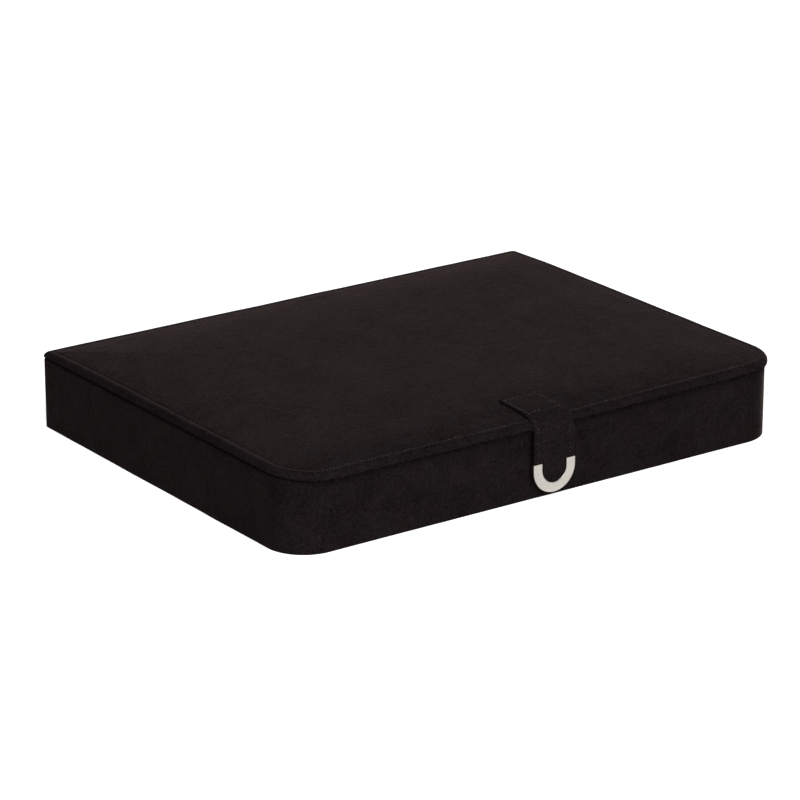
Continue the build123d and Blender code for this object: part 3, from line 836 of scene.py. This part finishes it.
def make_tip():
    """U of rolled metal channel that grips the strap's round end."""
    outer = (TIP_HIGH[0] - TIP_LOW[0]) / 2 + 0.1
    band, thickness, edge, wall = 6.35, 2.4, 0.5, 0.3
    bottom, top = TIP_LOW[2] - 0.15, TIP_HIGH[2] + 0.04
    front = STRAP_FRONT - 0.6
    center_z = bottom + outer
    behind, lip = thickness - 0.3, 0.58
    # section: inset from the outer edge of the U, and depth behind its front face
    section = arc(edge, edge, edge, edge, 180, 270, 6) + arc(band - edge, edge, edge, edge, 270, 360, 6)
    section += [(band, lip), (wall + 0.1, lip), (wall, 0.62), (wall, behind), (band, behind)]
    section += arc(band - edge * 0.6, thickness - edge * 0.3, edge * 0.6, edge * 0.3, 0, 90, 4)
    section += arc(edge, thickness - edge, edge, edge, 90, 180, 6)
    path = [(-1.0, 0.0, top), (-1.0, 0.0, (top + center_z) / 2)]
    path += [(math.cos(t), math.sin(t), center_z) for t in np.radians(np.linspace(180, 360, 61))]
    path += [(1.0, 0.0, (top + center_z) / 2), (1.0, 0.0, top)]
    points = []
    for way_x, way_z, z in path:
        for inset, depth in section:
            reach = outer - inset
            points.append((STRAP_X + way_x * reach, front + depth, z + way_z * reach))
    size, count = len(section), len(path)
    faces = loft_faces(count, size)
    faces.append(tuple(reversed(range(size))))
    faces.append(tuple(range((count - 1) * size, count * size)))
    return make_mesh("metal_tip", np.array(points), faces, [tip_metal], sharp=40)


# ------------------------------------------------------------------ hinge cloth

def make_hinge_cloth():
    """Strip of the covering cloth glued to the back of the base and of the lid."""
    rows = np.linspace(CLOTH_LOW[2], CLOTH_HIGH[2], 40)
    columns = np.linspace(CLOTH_LOW[0], CLOTH_HIGH[0], 150)
    width, count = len(columns), len(rows)

    def row_points(y, z):
        return np.column_stack([columns, np.full(width, y), np.full(width, z)])

    # the outer face sinks in at the parting line and thins out at the strip's ends
    parting = 46.65
    points = []
    for z in rows:
        fold = 0.22 * math.exp(-(((z - parting) / 0.7) ** 2))
        end = min(z - CLOTH_LOW[2], CLOTH_HIGH[2] - z)
        thin = 0.35 * max(0, 1 - end / 0.8)
        line = row_points(CLOTH_HIGH[1] - thin - fold, z)
        line[:, 1] += 0.03 * waves(line, 12, 31)
        points.append(line)
    points += [row_points(CLOTH_LOW[1] + 0.02, z) for z in rows]
    faces = []
    for k in range(count - 1):
        for i in range(width - 1):
            a = k * width + i
            faces.append((a + 1, a, a + width, a + width + 1))
            b = (count + k) * width + i
            faces.append((b, b + 1, b + width + 1, b + width))
    for k in range(count - 1):
        for i, flip in ((0, False), (width - 1, True)):
            a, b = k * width + i, (count + k) * width + i
            quad = (a, b, b + width, a + width)
            faces.append(quad[::-1] if flip else quad)
    for k, flip in ((0, True), (count - 1, False)):
        for i in range(width - 1):
            a, b = k * width + i, (count + k) * width + i
            quad = (a, b, b + 1, a + 1)
            faces.append(quad[::-1] if flip else quad)
    return make_mesh("hinge_strip", np.concatenate(points), faces, [suede_base], sharp=50)


# ------------------------------------------------------------------ velvet inside

def make_lid_panel():
    """Velvet-faced panel inside the lid, with a soft edge round the face that looks down."""
    inset, edge = COVER_HIGH[0] - PANEL_HIGH[0], 1.4
    face_z, back_z = PANEL_LOW[2], PANEL_HIGH[2]
    section = [(inset, back_z)]
    section += [(inset + edge * (1 - math.cos(t)), face_z + edge * (1 - math.sin(t)))
                for t in np.linspace(0, math.pi / 2, 6)]
    section += [(inset + d, face_z) for d in (3, 6, 10, 16, 24, 34, 46, 60, 76, 94, 112, 126)]
    rings = []
    for place, z in section:
        points = at_height(base_ring(place, (24, 100, 80, 6, 116), least_back=0.6), z)
        if place > inset + edge * 0.9:
            points[:, 2] -= 0.12 * waves(points, 40, 41) * min((place - inset) / 14, 1)
        rings.append(points)
    size = len(rings[0])
    faces = loft_faces(len(rings), size)
    faces.append(tuple(reversed(range(size))))
    faces.append(tuple(range((len(rings) - 1) * size, len(rings) * size)))
    faces = [face[::-1] for face in faces]
    return make_mesh("lid_panel", np.concatenate(rings), faces, [velvet_lining], sharp=60)


# ------------------------------------------------------------------ the scene

base_cloth = make_base_cover()
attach(base_cloth, "base")
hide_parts("base_cover")

lid_cloth = make_lid_cover()
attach(lid_cloth, "lid")
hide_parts("lid_cover", "lid_foam")

seam_stitches = make_stitches("seam_stitches", seam_places(), *SEAM_STITCH)
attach(seam_stitches, "lid")
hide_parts("lid_seam_thread")

strap = make_strap()
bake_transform(strap)
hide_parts("strap_on_lid", "tab_flap")

strap_stitches = make_stitches("strap_stitches", strap_stitch_places(), *STRAP_STITCH)
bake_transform(strap_stitches)
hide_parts("strap_stitching", "tab_stitching")

metal_tip = make_tip()
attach(metal_tip, "tab")
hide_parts("tab_tip")

hinge_strip = make_hinge_cloth()
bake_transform(hinge_strip)
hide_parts("hinge_cloth")

lid_panel = make_lid_panel()
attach(lid_panel, "lid")
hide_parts("lid_lining")

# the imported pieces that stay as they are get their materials
for names, material in (
    (("wall_lining", "floor_pad", "long_divider_1", "long_divider_2", "long_divider_3"), velvet_lining),
    (tuple(f"cross_divider_{k}" for k in range(1, 6)), velvet_lining),
    (("front_wall_board", "back_wall_board", "left_wall_board", "right_wall_board"), grey_board),
    (("left_corner_board", "right_corner_board", "floor_board", "lid_board"), grey_board),
    (("base_filler_card", "lid_filler_card"), grey_board),
    (("bottom_sheet",), base_paper),
    (("tab_stiffener",), stiffener_sheet),
    (("keeper_plate", "keeper_washer", "magnet_cup", "cup_washer"), closure_steel),
    (("magnet",), magnet_face),
):
    for name in names:
        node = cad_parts[name]
        node.data.materials.clear()
        node.data.materials.append(material)


# ------------------------------------------------------------------ floor, light and camera

LAMP_AIM = (0, 0, 0.03)
PICTURE_WIDTH = 800


def show_to_rays(tree, rays, shown, rest, output):
    """Give one shader to two kinds of ray and another to the rest."""
    path = tree.nodes.new("ShaderNodeLightPath")
    either = tree.nodes.new("ShaderNodeMath")
    either.operation = "MAXIMUM"
    mixed = tree.nodes.new("ShaderNodeMixShader")
    for ray, socket in zip(rays, either.inputs):
        tree.links.new(path.outputs[ray], socket)
    for source, socket in zip((either, rest, shown), mixed.inputs):
        tree.links.new(source.outputs[0], socket)
    tree.links.new(mixed.outputs[0], output.inputs["Surface"])


def make_floor():
    """White floor that keeps the shadow of the case."""
    mesh = bpy.data.meshes.new("floor")
    reach = 12.0
    corners = [(-reach, -reach, 0), (reach, -reach, 0), (reach, reach, 0), (-reach, reach, 0)]
    mesh.from_pydata(corners, [], [(0, 1, 2, 3)])
    made = bpy.data.objects.new("floor", mesh)
    bpy.context.scene.collection.objects.link(made)
    material = bpy.data.materials.new("floor_white")
    material.use_nodes = True
    tree = material.node_tree
    tree.nodes.clear()
    output = tree.nodes.new("ShaderNodeOutputMaterial")
    matt = tree.nodes.new("ShaderNodeBsdfDiffuse")
    matt.inputs["Color"].default_value = (0.80, 0.80, 0.80, 1)
    glow = tree.nodes.new("ShaderNodeEmission")
    glow.inputs["Strength"].default_value = 0.84
    added = tree.nodes.new("ShaderNodeAddShader")
    tree.links.new(matt.outputs[0], added.inputs[0])
    tree.links.new(glow.outputs[0], added.inputs[1])
    show_to_rays(tree, ("Is Camera Ray", "Is Glossy Ray"), added, matt, output)
    mesh.materials.append(material)


def make_world():
    """Soft even light all round, shown as white behind the case."""
    world = bpy.data.worlds.new("studio")
    bpy.context.scene.world = world
    world.use_nodes = True
    tree = world.node_tree
    tree.nodes.clear()
    output = tree.nodes.new("ShaderNodeOutputWorld")
    light = tree.nodes.new("ShaderNodeBackground")
    light.inputs["Color"].default_value = (1.0, 0.99, 0.98, 1)
    light.inputs["Strength"].default_value = 0.08
    white = tree.nodes.new("ShaderNodeBackground")
    white.inputs["Strength"].default_value = 1.0
    show_to_rays(tree, ("Is Camera Ray", "Is Transmission Ray"), white, light, output)


def add_lamp(name, place, size, power):
    """Square soft box that points at the case."""
    light = bpy.data.lights.new(name, "AREA")
    light.shape = "SQUARE"
    light.size = size
    light.energy = power
    made = bpy.data.objects.new(name, light)
    bpy.context.scene.collection.objects.link(made)
    made.location = place
    made.rotation_mode = "QUATERNION"
    made.rotation_quaternion = (Vector(LAMP_AIM) - Vector(place)).to_track_quat("-Z", "Y")


def make_camera():
    """Camera fitted to the outline of the case in the photograph."""
    azimuth, elevation = math.radians(-35.388), math.radians(19.632)
    # focal length in pixels of a picture 800 wide, the rest in millimetres
    focal_px, distance = 3807.58, 2386.09
    shift_right, shift_up = -7.263, -4.411
    target = Vector((0, 0, 25.0))
    back = Vector((
        math.sin(azimuth) * math.cos(elevation),
        -math.cos(azimuth) * math.cos(elevation),
        math.sin(elevation),
    ))
    right = Vector((math.cos(azimuth), math.sin(azimuth), 0))
    up = back.cross(right)
    place = target + back * distance + right * shift_right + up * shift_up
    camera = bpy.data.cameras.new("camera")
    camera.sensor_width = 36
    camera.lens = focal_px * 36 / PICTURE_WIDTH
    camera.clip_start, camera.clip_end = 0.1, 60
    made = bpy.data.objects.new("camera", camera)
    bpy.context.scene.collection.objects.link(made)
    turn = Matrix((right, up, back)).transposed().to_4x4()
    turn.translation = place * MM
    made.matrix_world = turn
    bpy.context.scene.camera = made


make_floor()
make_world()
add_lamp("back_box", (1.2, 1.3, 0.66), 0.7, 10.8)
add_lamp("front_low_box", (-0.6, -1.85, 0.6), 1.0, 9.6)
add_lamp("front_high_box", (-0.4, -1.3, 1.4), 1.0, 19.0)
make_camera()
bpy.context.scene.view_settings.view_transform = "Standard"
